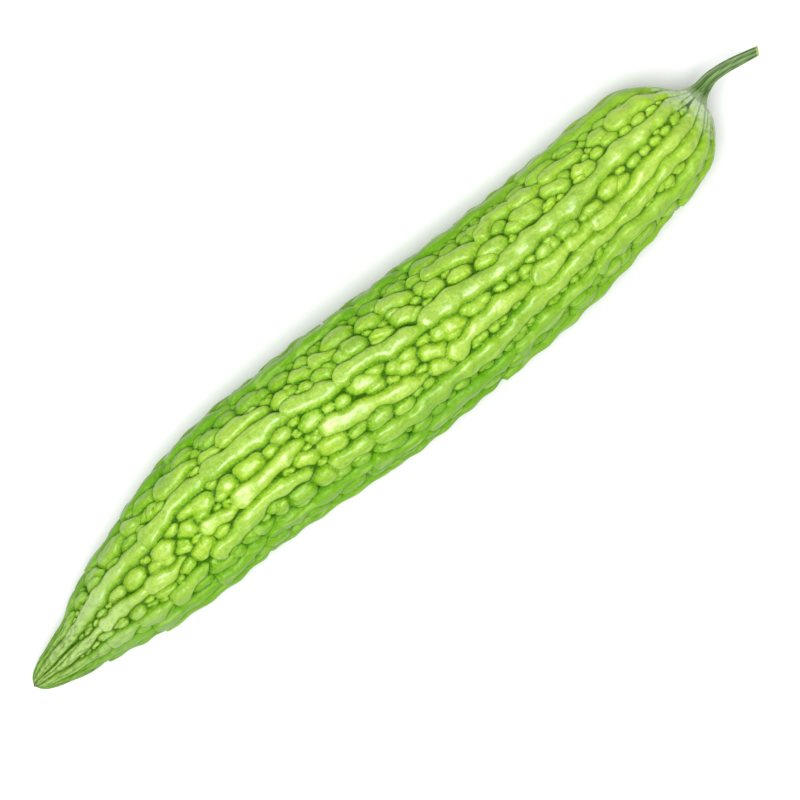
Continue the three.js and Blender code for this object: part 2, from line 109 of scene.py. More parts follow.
FULL_RADIUS, LEAST_SIZE = 22.0, 0.12  # where the fruit is narrower, its relief shrinks, at most to this
VALLEY_DEPTH = 3.3
RIB_HEIGHT, WART_HEIGHT = 3.3, 3.0
WART_RADIUS, SMALLEST_WART = 3.9, 1.0
CREASE_SOFTNESS, CREASE_WIDTH, CREASE_BLEND = 0.3, 0.7, 0.8
SEAM_DEPTH, SEAM_WIDTH = 0.42, 0.8  # the share of the height lost where two lobes of one swelling meet
TOP_WIDTH = 0.85  # a swelling is at its full height this many half widths in from its crease
TIP_FADE, TIP_SHARE, TIP_GROWTH = 42.0, 0.20, 0.8  # the relief grows from this share at the tip
STEM_FADE, STEM_SHARE, STEM_GROWTH = 16.0, 0.14, 0.7  # and dies away to this one at the stem
LAYOUT_SEED = 20417

# The ribs that show from above: the angle in degrees from the top towards +Y, and where each unbroken
# length of the rib starts and ends.
UPPER_RIBS = [
    {"half_width": 4.4,
     "angle": [(0, 76), (50, 80), (100, 74), (150, 68), (200, 76), (250, 74), (302, 68)],
     "lengths": [(0, 40), (42, 64), (64, 86), (87, 112), (114, 166), (168, 186), (187, 238), (239, 302)]},
    {"half_width": 3.4,
     "angle": [(0, 52), (50, 56), (80, 48), (105, 39), (135, 38), (160, 43), (195, 43), (213, 41),
               (222, 50), (245, 46), (270, 42), (302, 42)],
     "lengths": [(0, 28), (47, 60), (61, 70), (78, 94), (104, 121), (142, 151), (172, 183), (190, 213),
                 (213, 229), (230, 243), (243, 258), (272, 302)]},
    {"half_width": 3.8,
     "angle": [(0, 29), (50, 26.5), (85, 26), (115, 22), (135, 21), (150, 16), (172, 14), (200, 11.5),
               (240, 11.5), (268, 14), (302, 18)],
     "lengths": [(0, 64), (64, 94), (94, 126), (126, 147), (147, 181), (181, 302)]},
    {"half_width": 3.3,
     "angle": [(0, -3), (30, -6), (55, -12), (85, -12), (110, -8), (132, -5), (148, -10), (166, -20),
               (185, -17), (215, -14), (250, -16), (280, -15), (302, -12)],
     "lengths": [(0, 33), (33, 54), (54, 69), (81, 96), (96, 125), (133, 171), (182, 219), (219, 234),
                 (234, 245), (245, 302)]},
    {"half_width": 3.6,
     "angle": [(0, -34), (50, -42), (78, -35), (97, -27), (115, -26), (130, -34), (165, -39), (200, -36),
               (230, -28), (250, -29), (280, -28), (302, -30)],
     "lengths": [(0, 30), (30, 43), (43, 57), (57, 72), (78, 120), (129, 146), (146, 302)]},
    {"half_width": 3.4,
     "angle": [(0, -62), (50, -66), (95, -58), (135, -58), (160, -64), (200, -57), (235, -49), (280, -52),
               (302, -50)],
     "lengths": [(0, 45), (46, 70), (72, 92), (96, 140), (141, 160), (162, 200), (201, 235), (236, 302)]},
]
# The ribs of the underside, in degrees from the top. The fruit lies on the pair either side of 180.
UNDERSIDE_RIBS = [-84, -112, -140, -167, 167, 144, 121, 98]
RESTING_ANGLE, UNDERSIDE_WANDER, UNDERSIDE_WIDTH = 160, 5, (3.2, 3.8)
SHORTEST_LENGTH, LONGEST_LENGTH, LENGTH_GROWTH = 18, 32, 0.3
BREAK_SHARE, BREAK_GAP = 0.3, (5, 9)  # of the lengths are followed by a bare gap
LAST_HEAD = 268.0  # no length of these ends between here and the stem
RIB_POINT_STEP = 60

# How ribs and warts vary. Two numbers in brackets are the least and the most that is drawn.
MEAN_RADIUS = 27.0
RIB_NARROWING = 0.6
RIB_WIDTH_SPREAD, RIB_HEIGHT_SPREAD = (0.95, 1.08), (0.92, 1.08)
WANDER_WAVE, WIGGLE_WAVE, SWELL_WAVE, RIPPLE_WAVE = (24, 40), (9, 14), (17, 27), (7, 11)
ROLL_WAVE = (9, 17)
RIB_WANDER, RIB_WIGGLE, RIB_LEAN = 0.7, 0.35, 1.6
RIB_SWELL, RIB_RIPPLE, HEAD_SWELL, TAIL_SLIMNESS = 0.13, 0.09, 0.12, 0.3
RIB_ROLL, TAIL_FALL, TAIL_LENGTH = 0.10, 0.22, 9.0
HEAD_OVERLAP, HEAD_STEEPNESS, HEAD_LENGTH, TAIL_STRETCH = 0.8, 1.8, 3.5, 1.2
WART_FILL = (0.75, 1.05)  # of the bare room that it stands in
WART_STRETCH = 1.25
WART_LENGTH, WART_SLANT = (0.0, 0.6), (-0.9, 0.4)
WART_HEIGHT_SPREAD, LOWEST_WART = (0.85, 1.1), 0.45
LOBED_SHARE, MOST_LOBES = 0.5, 3
LOBE_WAY, LOBE_STEP, LOBE_SLIP = (-1.5, 1.5), 1.15, 0.6
LOBE_SIZE, LOBE_LENGTH, LOBE_HEIGHT = (0.6, 0.9), 0.3, (0.8, 1.0)
LOBE_REACH, WART_REACH = 14.0, 42.0  # how far beyond its ends a lobe, or round it a wart, can matter
FAR_OFF = 12.0  # longer distances count as this
PLACE_STEP, PLACES_ROUND, FIRST_PLACE, LAST_PLACE = 1.2, 144, 4.0, 298.0

# Narrow grooves near the tip and the stem, a little deeper than the real ones so that they show.
LINES_ROUND, LINE_DEPTH, LINE_SHARPNESS = 34, 0.30, 3
TIP_LINES, TIP_STRENGTH, TIP_START, ROOT_LINES, ROOT_BLEND = 34.0, 1.5, 1.5, 291.0, 7.0
LINE_WANDER, LINE_WAVE, BENDS_ROUND = 0.05, 5.0, 3
LINE_SPREAD, CHANGES_ROUND = 0.35, 7
# How far the grooves lower the crest value, which paints them with the creases' darker green, partly
# painted shade.
LINE_DARKNESS, LINE_BREADTH = 0.8, 1.6

# Degrees from the top to where the painted shade on the flanks begins, on the +Y and the -Y side, and over
# which it grows full.
SHADE_FROM_LEFT, SHADE_FROM_RIGHT, SHADE_BLEND = 28.0, 17.0, 38.0

FRUIT_ROWS, FRUIT_COLUMNS, END_CROWDING = 820, 420, 0.08  # rows are closer together at the ends
FRUIT_TRIANGLES = 196000
ROUND = 2 * np.pi
UPRIGHT = np.array([0.0, 0.0, 1.0])


def smooth_line(points, x):
    """A cubic between neighbouring points whose slope at each is the mean of the slopes either side."""
    px, py = np.array(points, float).T
    x = np.clip(np.asarray(x, float), px[0], px[-1])
    slope = np.diff(py) / np.diff(px)
    lean = np.concatenate([slope[:1], (slope[1:] + slope[:-1]) / 2, slope[-1:]])
    i = np.clip(np.searchsorted(px, x, side="right") - 1, 0, len(px) - 2)
    width = px[i + 1] - px[i]
    t = (x - px[i]) / width
    return (py[i] * (1 + 2 * t) * (1 - t) ** 2 + lean[i] * width * t * (1 - t) ** 2
            + py[i + 1] * t * t * (3 - 2 * t) + lean[i + 1] * width * t * t * (t - 1))


def random_draws(seed):
    """Even numbers between two limits, each state the last times 16807 modulo 2 to the 31 less 1."""
    state = [seed]

    def draw(low, high):
        state[0] = (state[0] * 16807) % 2147483647
        return low + (high - low) * state[0] / 2147483647
    return draw


def crest_radius(s):
    """How far the ribs' crests stand from the spine at a distance s from the tip."""
    return smooth_line(CREST_RADIUS, s)


def narrowing(s):
    """The share of full size that ribs and warts have: the crest radius over the full radius, up to 1."""
    return np.clip(crest_radius(s) / FULL_RADIUS, LEAST_SIZE, 1)


def wave(s, shape):
    """A sine wave along the fruit, of a length in mm and a phase."""
    return np.sin(ROUND * s / shape[0] + shape[1])


def underside_rib(degrees, draw):
    """A rib whose angle wanders a few degrees, in lengths that grow towards the stem."""
    carries = abs(degrees) > RESTING_ANGLE
    angle = []
    for s in range(0, int(FRUIT_LENGTH) + 1, RIB_POINT_STEP):
        angle.append((s, degrees + (0 if carries else draw(-UNDERSIDE_WANDER, UNDERSIDE_WANDER))))
    lengths = []
    start = 0.0
    while start < FRUIT_LENGTH - RIB_POINT_STEP:
        end = min(start + draw(SHORTEST_LENGTH, LONGEST_LENGTH + LENGTH_GROWTH * start), LAST_HEAD)
        broken = draw(0, 1) < BREAK_SHARE
        lengths.append((start, end))
        start = end + (draw(*BREAK_GAP) if broken else 0)
    lengths.append((start, FRUIT_LENGTH))
    return {"angle": angle, "lengths": lengths, "half_width": draw(*UNDERSIDE_WIDTH)}


def rib_lobe(first, last, rib, waves, draw):
    """One length of a rib, from its blunt steep head to the thin low tail under the next head.

    Sine waves along it stray its angle and vary its width and height. It leans evenly from end to end,
    the tail thins and falls by a square, and the head's steepness dies away by an exponential."""
    slim = narrowing(first) ** RIB_NARROWING
    start = first + HEAD_OVERLAP * rib["half_width"] * slim * (first > 0)
    lean = draw(-RIB_LEAN, RIB_LEAN)
    width = rib["half_width"] * draw(*RIB_WIDTH_SPREAD)
    height = RIB_HEIGHT * draw(*RIB_HEIGHT_SPREAD)
    roll = (draw(*ROLL_WAVE), draw(0, ROUND))

    def along(s):
        return (s - start) / (last - start)

    def tail(s):
        return np.clip(1 - (last - s) / TAIL_LENGTH, 0, 1) ** 2 * (last < FRUIT_LENGTH)
    return {
        "start": start, "end": last, "full_width": width, "before": 1.0, "after": TAIL_STRETCH,
        "angle": lambda s: (np.radians(smooth_line(rib["angle"], s))
                            + (RIB_WANDER * wave(s, waves[0]) + RIB_WIGGLE * wave(s, waves[1])
                               + lean * (0.5 - along(s))) * narrowing(s) / MEAN_RADIUS),
        "width": lambda s: (width * narrowing(s) ** RIB_NARROWING
                            * (1 + RIB_SWELL * wave(s, waves[2]) + RIB_RIPPLE * wave(s, waves[3])
                               + HEAD_SWELL * (1 - 2 * along(s)) - TAIL_SLIMNESS * tail(s))),
        "height": lambda s: height * (1 + RIB_ROLL * wave(s, roll) - TAIL_FALL * tail(s)),
        "steep": lambda s: 1 + HEAD_STEEPNESS * np.exp((start - s) / HEAD_LENGTH) * (first > 0),
    }


def wart_lobe(s, angle, half_width, half_length, slant, height):
    """A short lump, longer than wide by twice its half length. Its angle changes evenly along it, so
    that it lies a little aslant, and its width shrinks with the fruit's."""
    radius = crest_radius(s)
    return {
        "start": s - half_length, "end": s + half_length, "full_width": half_width,
        "before": WART_STRETCH, "after": WART_STRETCH,
        "angle": lambda at: angle + slant * (at - s) / radius,
        "width": lambda at: half_width * narrowing(at),
        "height": lambda at: height + 0 * at,
        "steep": lambda at: 1.0,
    }


def wart(s, angle, half_width, draw):
    """A wart, higher the wider it is. Half of them have a smaller lobe grown into them, or two."""
    half_length = half_width * draw(*WART_LENGTH) * narrowing(s)
    slant = draw(*WART_SLANT)
    full = LOWEST_WART + (1 - LOWEST_WART) * half_width / WART_RADIUS
    height = WART_HEIGHT * full * draw(*WART_HEIGHT_SPREAD)
    lobes = [wart_lobe(s, angle, half_width, half_length, slant, height)]
    while len(lobes) < MOST_LOBES and draw(0, 1) < LOBED_SHARE:
        way = draw(*LOBE_WAY)
        side = 1 if draw(0, 1) < 0.5 else -1
        step = side * LOBE_STEP * half_width * narrowing(s)
        share = draw(*LOBE_SIZE)
        lobes.append(wart_lobe(s + math.cos(way) * step + LOBE_SLIP * side * half_length,
                               angle + math.sin(way) * step / crest_radius(s), half_width * share,
                               LOBE_LENGTH * half_length, slant, height * draw(*LOBE_HEIGHT)))
    return lobes


def distance_to(lobe, s, angle, radius):
    """The distance in mm to a lobe's outline: to its middle line, less its width, minus inside it."""
    nearest = np.clip(s, lobe["start"], lobe["end"])
    along = (s - nearest) / np.where(s < nearest, lobe["before"], lobe["after"])
    turn = angle - lobe["angle"](nearest)
    across = radius * (turn - ROUND * np.floor((turn + np.pi) / ROUND))
    return (np.hypot(along, across) - lobe["width"](nearest)) * lobe["steep"](nearest)


def lay_out_swellings():
    """The ribs, then warts: of places on an even grid, the one furthest from all that is there gets the
    next wart, as large as fits, until no place has room for the smallest."""
    draw = random_draws(LAYOUT_SEED)
    ribs = UPPER_RIBS + [underside_rib(degrees, draw) for degrees in UNDERSIDE_RIBS]
    swellings = []
    for rib in ribs:
        waves = [(draw(*limits), draw(0, ROUND))
                 for limits in (WANDER_WAVE, WIGGLE_WAVE, SWELL_WAVE, RIPPLE_WAVE)]
        swellings.append([rib_lobe(first, last, rib, waves, draw) for first, last in rib["lengths"]])

    steps = np.full(math.ceil((LAST_PLACE - FIRST_PLACE) / PLACE_STEP), PLACE_STEP)
    steps[0] = FIRST_PLACE
    angles = ROUND * np.arange(PLACES_ROUND) / PLACES_ROUND - np.pi
    s, angle = (grid.ravel() for grid in np.meshgrid(np.cumsum(steps), angles, indexing="ij"))
    radius, scale = crest_radius(s), np.sqrt(narrowing(s))
    room = np.full(s.shape, np.inf)
    for swelling in swellings:
        for lobe in swelling:
            room = np.minimum(room, distance_to(lobe, s, angle, radius))
    while True:
        # Rounded to a small step, so that of places that are as wide the first is taken.
        widest = int(np.argmax(np.floor(room / scale * 1e4 + 0.5)))
        here = room[widest] / scale[widest]
        if here < SMALLEST_WART:
            return swellings
        half_width = min(here, WART_RADIUS) * draw(*WART_FILL)
        swellings.append(wart(s[widest], angle[widest], half_width, draw))
        near = np.abs(s - s[widest]) < WART_REACH
        for lobe in swellings[-1]:
            room[near] = np.minimum(room[near], distance_to(lobe, s[near], angle[near], radius[near]))


def round_over(t):
    """A quarter circle that rises from 0 at 0 to 1 at 1 and stays there."""
    return np.sqrt(1 - (1 - np.clip(t, 0, 1)) ** 2)


def nearest_lobe(swelling, s, angle):
    """Of one swelling: the distance to its nearest lobe, that lobe's height and width, and the dip
    where two lobes meet, a quarter circle of half the difference of their distances."""
    shape = (len(s), len(angle))
    closest, second = np.full(shape, FAR_OFF), np.full(shape, FAR_OFF)
    height, half_width = np.zeros(shape), np.ones(shape)
    for lobe in swelling:
        low, high = np.searchsorted(s, [lobe["start"] - LOBE_REACH, lobe["end"] + LOBE_REACH])
        rows, at = slice(low, high), s[low:high, None]
        distance = np.clip(distance_to(lobe, at, angle[None, :], crest_radius(at)), -FAR_OFF, FAR_OFF)
        closer = distance < closest[rows]
        inner = np.clip(at, lobe["start"], lobe["end"])
        second[rows] = np.minimum(second[rows], np.maximum(closest[rows], distance))
        height[rows] = np.where(closer, lobe["height"](inner), height[rows])
        half_width[rows] = np.where(closer, lobe["full_width"], half_width[rows])
        closest[rows] = np.minimum(closest[rows], distance)
    scale = np.sqrt(narrowing(s))[:, None]
    dip = SEAM_DEPTH * (1 - round_over((second - closest) / 2 / (SEAM_WIDTH * scale)))
    return closest, height * (1 - dip), half_width


def relief(swellings, s, angle):
    """The skin's height over its valleys, how near a crest each place is, and its swelling's number.

    Of all swellings near a place, the nearest owns it. The distance in from the crease is half the
    difference to the next swelling, by a soft minimum, or the distance in from its own edge where that
    is less. The height is the lobe's height times a quarter circle of that distance, and the nearness
    to a crest is that quarter circle, less so on low swellings."""
    shape = (len(s), len(angle))
    nearest, total = np.full(shape, FAR_OFF), np.zeros(shape)
    height, half_width, owner = np.zeros(shape), np.ones(shape), np.zeros(shape, int)
    scale = np.sqrt(narrowing(s))[:, None]
    softness = CREASE_SOFTNESS * scale
    for number, swelling in enumerate(swellings):
        first = min(lobe["start"] for lobe in swelling) - LOBE_REACH
        last = max(lobe["end"] for lobe in swelling) + LOBE_REACH
        rows = slice(*np.searchsorted(s, [first, last]))
        distance, top, width = nearest_lobe(swelling, s[rows], angle)
        total[rows] += np.exp(-(distance + FAR_OFF) / softness[rows])
        closer = distance < nearest[rows]
        nearest[rows] = np.where(closer, distance, nearest[rows])
        height[rows] = np.where(closer, top, height[rows])
        half_width[rows] = np.where(closer, width, half_width[rows])
        owner[rows] = np.where(closer, number, owner[rows])
    others = np.maximum(total - np.exp(-(nearest + FAR_OFF) / softness), 1e-300)
    to_neighbour = (-softness * np.log(others) - FAR_OFF - nearest) / 2
    to_edge = CREASE_WIDTH * scale - nearest
    blend = CREASE_BLEND * scale
    mix = np.clip(0.5 + 0.5 * (to_edge - to_neighbour) / blend, 0, 1)
    inside = to_edge * (1 - mix) + to_neighbour * mix - blend * mix * (1 - mix)
    rise = round_over(inside / (TOP_WIDTH * half_width * scale))
    return height * rise, np.clip(rise * (0.5 + 0.5 * height / RIB_HEIGHT), 0, 1), owner


def relief_share(s):
    """The share of the relief left near the tip and near the stem, each from its least share to 1 by a
    power of the distance from that end."""
    from_tip = np.clip(s / TIP_FADE, 0, 1)
    from_stem = np.clip((FRUIT_LENGTH - s) / STEM_FADE, 0, 1)
    return ((TIP_SHARE + (1 - TIP_SHARE) * from_tip ** TIP_GROWTH)
            * (STEM_SHARE + (1 - STEM_SHARE) * from_stem ** STEM_GROWTH))


def fine_lines(s, angle):
    """Narrow grooves along the fruit near its tip and round the stem's root, from 0 to 1: a high power
    of a cosine round the fruit, which wanders a little and differs in strength from line to line."""
    near = (np.clip(TIP_STRENGTH - TIP_STRENGTH * s / TIP_LINES, 0, 1) * np.clip(s / TIP_START, 0, 1)
            + np.clip((s - ROOT_LINES) / ROOT_BLEND, 0, 1))
    wandering = angle + LINE_WANDER * np.sin(s / LINE_WAVE + BENDS_ROUND * angle)
    strength = (1 - LINE_SPREAD) + LINE_SPREAD * np.sin(CHANGES_ROUND * angle + 1.0)
    return near * strength * (0.5 + 0.5 * np.cos(LINES_ROUND * wandering)) ** LINE_SHARPNESS


def shoulder(s, angle):
    """How much fuller the fruit is on its -Y side just before the stem: all of it at -Y, none at +Y, by
    the sine of the angle."""
    return smooth_line(SHOULDER, s) * (0.5 - 0.5 * np.sin(angle))


def cross_frames(sideways, height, s):
    """Points of a spine, and its level directions sideways and along. Along comes from the change over
    the step either side, and sideways is square to it."""
    step = 0.5
    low, high = np.maximum(s - step, sideways[0][0]), np.minimum(s + step, sideways[-1][0])
    slope = (smooth_line(sideways, high) - smooth_line(sideways, low)) / (high - low)
    along = np.stack([np.ones_like(s), slope, np.zeros_like(s)], 1) / np.hypot(1, slope)[:, None]
    centre = np.stack([s, smooth_line(sideways, s), smooth_line(height, s)], 1)
    return centre, np.cross(UPRIGHT, along), along


def tube_mesh(name, rings, first_point, last_point):
    """A closed tube through rings of points in mm, moved to the fruit's place: quads join each ring to
    the next, and a fan of triangles to one point closes each end."""
    rows, columns = rings.shape[:2]
    points = np.concatenate([rings.reshape(-1, 3), [first_point, last_point]]) * MM
    points[:, 0] += tip_x
    points[:, 1] += sideways_shift * MM
    row, column = np.meshgrid(np.arange(rows - 1), np.arange(columns), indexing="ij")
    after = (column + 1) % columns
    quads = np.stack([row * columns + column, (row + 1) * columns + column,
                      (row + 1) * columns + after, row * columns + after], -1).reshape(-1, 4)
    one, two = np.arange(columns), (np.arange(columns) + 1) % columns
    last = (rows - 1) * columns
    fans = np.concatenate([
        np.stack([np.full(columns, rows * columns), one, two], -1),
        np.stack([np.full(columns, rows * columns + 1), last + two, last + one], -1)])
    mesh = bpy.data.meshes.new(name)
    mesh.from_pydata(points.tolist(), [], quads.tolist() + fans.tolist())
    mesh.polygons.foreach_set("use_smooth", np.ones(len(mesh.polygons), bool))
    mesh.update()
    piece = bpy.data.objects.new(name, mesh)
    bpy.context.scene.collection.objects.link(piece)
    return piece


def point_values(piece, name, rings, first_value, last_value):
    """One number for each point of a tube, ring by ring and then its ends, for its material to read."""
    values = np.concatenate([np.asarray(rings, float).ravel(), [first_value, last_value]])
    piece.data.attributes.new(name, "FLOAT", "POINT").data.foreach_set("value", values)


def thin_out(piece, triangles):
    """Fewer, larger triangles where the skin is smooth, and all that the creases need."""
    mesh = piece.data
    mesh.calc_loop_triangles()
    fewer = piece.modifiers.new("fewer_triangles", "DECIMATE")
    fewer.ratio = triangles / len(mesh.loop_triangles)
    graph = bpy.context.evaluated_depsgraph_get()
    piece.data = bpy.data.meshes.new_from_object(piece.evaluated_get(graph), depsgraph=graph)
    piece.modifiers.clear()
    piece.data.name = piece.name


swellings = lay_out_swellings()
even = (np.arange(FRUIT_ROWS) + 1) / FRUIT_ROWS
fruit_s = FRUIT_LENGTH * (even - END_CROWDING * np.sin(ROUND * even))
fruit_angle = ROUND * np.arange(FRUIT_COLUMNS) / FRUIT_COLUMNS
swelling_height, crest, owner = relief(swellings, fruit_s, fruit_angle)
lines = fine_lines(fruit_s[:, None], fruit_angle[None, :])
skin = (crest_radius(fruit_s)[:, None] + shoulder(fruit_s[:, None], fruit_angle[None, :])
        + relief_share(fruit_s)[:, None] * (swelling_height - VALLEY_DEPTH) - LINE_DEPTH * lines)
centre, side, _ = cross_frames(SPINE_SIDEWAYS, SPINE_HEIGHT, fruit_s)
fruit_rings = (centre[:, None] + skin[..., None] * (np.sin(fruit_angle)[None, :, None] * side[:, None]
                                                    + np.cos(fruit_angle)[None, :, None] * UPRIGHT))
fruit_rings[..., 2] = np.maximum(fruit_rings[..., 2] - RESTING_FLAT, 0)
sideways_shift = ((fruit_low[1] + fruit_high[1]) / MM
                  - fruit_rings[..., 1].min() - fruit_rings[..., 1].max()) / 2
lift = np.array([0, 0, RESTING_FLAT])
tip_point = np.array([0, 0, SPINE_HEIGHT[0][1]]) - lift
fruit = tube_mesh("gourd_fruit", fruit_rings, tip_point, centre[-1] - lift)
# Painted shade in the fine grooves: the crest value is lowered there, so the material paints them with the
# creases' dark green.
crest_left = crest * (1 - LINE_DARKNESS * np.clip(LINE_BREADTH * lines, 0, 1))
point_values(fruit, "crest", crest_left, 0.5, 0.5)
point_values(fruit, "from_tip", fruit_s[:, None] + 0 * crest, 0, FRUIT_LENGTH)
# The share of painted shade on the flanks at each angle round the fruit, also used to dull the shine
# there.
turned = np.degrees((fruit_angle + np.pi) % ROUND - np.pi)
shade_from = np.where(turned > 0, SHADE_FROM_LEFT, SHADE_FROM_RIGHT)
flank_shade = np.clip((np.abs(turned) - shade_from) / SHADE_BLEND, 0, 1)
point_values(fruit, "turned_down", flank_shade[None, :] + 0 * crest, 0.5, 0.5)

# A different number from 0 to 1 for each swelling: the decimals of a large multiple of a sine.
TINT_STEP, TINT_MULTIPLE = 12.9898, 43758.5453
tints = np.array([math.sin(number * TINT_STEP) * TINT_MULTIPLE % 1 for number in range(len(swellings))])
point_values(fruit, "swelling_tint", tints[owner], 0.5, 0.5)
thin_out(fruit, FRUIT_TRIANGLES)


def linear(hex_colour):
    """An sRGB hex colour as linear red, green, blue and alpha, by the sRGB curve."""
    channels = [int(hex_colour[i:i + 2], 16) / 255 for i in (0, 2, 4)]
    return [c / 12.92 if c <= 0.04045 else ((c + 0.055) / 1.055) ** 2.4 for c in channels] + [1.0]


def new_material(name):
    """A new node material, its node tree and its shader."""
    material = bpy.data.materials.new(name)
    material.use_nodes = True
    return material, material.node_tree, material.node_tree.nodes["Principled BSDF"]


def add_node(tree, kind, settings=None, links=None):
    """A node of a kind with its settings, by property or by input, and links from other outputs."""
    node = tree.nodes.new(kind)
    for key, value in (settings or {}).items():
        if isinstance(key, str) and hasattr(node, key):
            setattr(node, key, value)
        else:
            node.inputs[key].default_value = value
    for key, output in (links or {}).items():
        tree.links.new(output, node.inputs[key])
    return node


def set_ramp(node, stops):
    """The stops of a colour ramp, each a place from 0 to 1 and a hex colour."""
    elements = node.color_ramp.elements
    while len(elements) < len(stops):
        elements.new(0.5)
    for element, (place, colour) in zip(elements, stops):
        element.position = place
        element.color = linear(colour)


MIX_SHARE, MIX_FIRST, MIX_SECOND, MIXED = 0, 6, 7, 2  # a colour mix node's sockets


def paint_over(tree, colour, layers):
    """A colour with layers of paint mixed over it in order. A layer has a name, its paint, the value that
    it follows, that value where the layer starts and where it is full, and its share there."""
    for name, paint, value, (start, full), share in layers:
        cover = add_node(tree, "ShaderNodeMapRange",
                         {"name": name, "From Min": start, "From Max": full, "To Max": share},
                         {"Value": value})
        mixed = add_node(tree, "ShaderNodeMix", {"data_type": "RGBA", MIX_SECOND: linear(paint)},
                         {MIX_SHARE: cover.outputs["Result"], MIX_FIRST: colour})
        colour = mixed.outputs[MIXED]
    return colour


# Waxy green skin, living and moist: yellower and paler on the stretched tops of the swellings, greyer at
# the tip and whitish where the stem begins, with a soft waxy shine over all of it. The dark green of the
# creases is partly the skin's own colour and partly painted shade, with thin lines of painted shade along
# them and in the fine grooves. The flanks are painted a deeper green as painted shade, and the rib tops
# near the tip carry a whitish painted sheen. Sizes are in mm. The real skin's pores and wrinkles are 0.1
# to 0.3 mm wide, and its flecks, streaks and wrinkles are drawn coarser so that they show.
PATCH_SIZE, MOTTLE_SIZE, FLECK_SIZE, STREAK_SIZE = 14.0, 2.2, 0.9, 1.6
DIMPLE_SIZE, WRINKLE_SIZE = 3.6, 0.9
LENGTHWISE = (0.12, 1.0, 1.0)  # stretches a pattern along the fruit
RAGGED_TIP, RAGGED_ROOT = 9.0, 15.0  # how ragged the streaks make a layer's edge
# Where the painted whitish sheen on the rib tops and the tip's wrinkles begin, where they are full, and
# their most share.
SHEEN_AND_WRINKLE_START, SHEEN_AND_WRINKLE_FULL, MOST_SHEEN_AND_WRINKLE = 85.0, 25.0, 0.8
DIMPLE_DEPTH, PORE_DEPTH, GRAIN_DEPTH, WRINKLE_DEPTH = 1.0, 0.16, 0.25, 0.6
SKIN_IOR, SKIN_ROUGHNESS, WAX_ROUGHNESS = 1.43, (0.28, 0.44), 0.27  # plant wax has an IOR near 1.43
SOFT_SHARE, SOFT_DEPTH = 0.05, 2.0  # of the light, the share that passes into the skin, and how deep
GREEN_SCATTER = (0.6, 1.0, 0.25)  # green light goes deepest and blue light least

skin_material, tree, shader = new_material("waxy_gourd_skin")
coords = add_node(tree, "ShaderNodeTexCoord")
crest_value = add_node(tree, "ShaderNodeAttribute", {"attribute_name": "crest"})
tint_value = add_node(tree, "ShaderNodeAttribute", {"attribute_name": "swelling_tint"})
from_tip = add_node(tree, "ShaderNodeAttribute", {"attribute_name": "from_tip"})
turned_down = add_node(tree, "ShaderNodeAttribute", {"attribute_name": "turned_down"})
# By crest: the creases' dark green is partly the skin's own colour and partly painted shade, and the tops'
# yellow green is its own colour.
by_crest = add_node(tree, "ShaderNodeValToRGB", links={"Fac": crest_value.outputs["Fac"]})
set_ramp(by_crest, [(0.0, "163f00"), (0.25, "377202"), (0.5, "74a40c"), (0.78, "94bb2a"), (1.0, "a4c444")])
patches = add_node(tree, "ShaderNodeTexNoise", {"Scale": 1 / (PATCH_SIZE * MM), "Detail": 2.0},
                   {"Vector": coords.outputs["Object"]})
mottle = add_node(tree, "ShaderNodeTexNoise", {"Scale": 1 / (MOTTLE_SIZE * MM), "Detail": 3.0},
                  {"Vector": coords.outputs["Object"]})
flecks = add_node(tree, "ShaderNodeTexNoise", {"Scale": 1 / (FLECK_SIZE * MM), "Detail": 2.0},
                  {"Vector": coords.outputs["Object"]})
uneven = add_node(tree, "ShaderNodeTexNoise", {"Scale": 1 / (DIMPLE_SIZE * MM), "Detail": 1.0},
                  {"Vector": coords.outputs["Object"]})
lengthwise = add_node(tree, "ShaderNodeMapping", {"Scale": LENGTHWISE},
                      {"Vector": coords.outputs["Object"]})
streaks = add_node(tree, "ShaderNodeTexNoise", {"Scale": 1 / (STREAK_SIZE * MM), "Detail": 2.0},
                   {"Vector": lengthwise.outputs["Vector"]})
wrinkles = add_node(tree, "ShaderNodeTexNoise", {"Scale": 1 / (WRINKLE_SIZE * MM), "Detail": 4.0},
                    {"Vector": lengthwise.outputs["Vector"]})
ragged_tip = add_node(tree, "ShaderNodeMath", {"operation": "MULTIPLY_ADD", 1: RAGGED_TIP},
                      {0: streaks.outputs["Fac"], 2: from_tip.outputs["Fac"]})
ragged_root = add_node(tree, "ShaderNodeMath", {"operation": "MULTIPLY_ADD", 1: RAGGED_ROOT},
                       {0: streaks.outputs["Fac"], 2: from_tip.outputs["Fac"]})
near_tip = add_node(tree, "ShaderNodeMapRange",
                    {"From Min": SHEEN_AND_WRINKLE_START, "From Max": SHEEN_AND_WRINKLE_FULL, "To Max": MOST_SHEEN_AND_WRINKLE},
                    {"Value": ragged_tip.outputs["Value"]})
tip_wrinkles = add_node(tree, "ShaderNodeMath", {"operation": "MULTIPLY"},
                        {0: near_tip.outputs["Result"], 1: wrinkles.outputs["Fac"]})
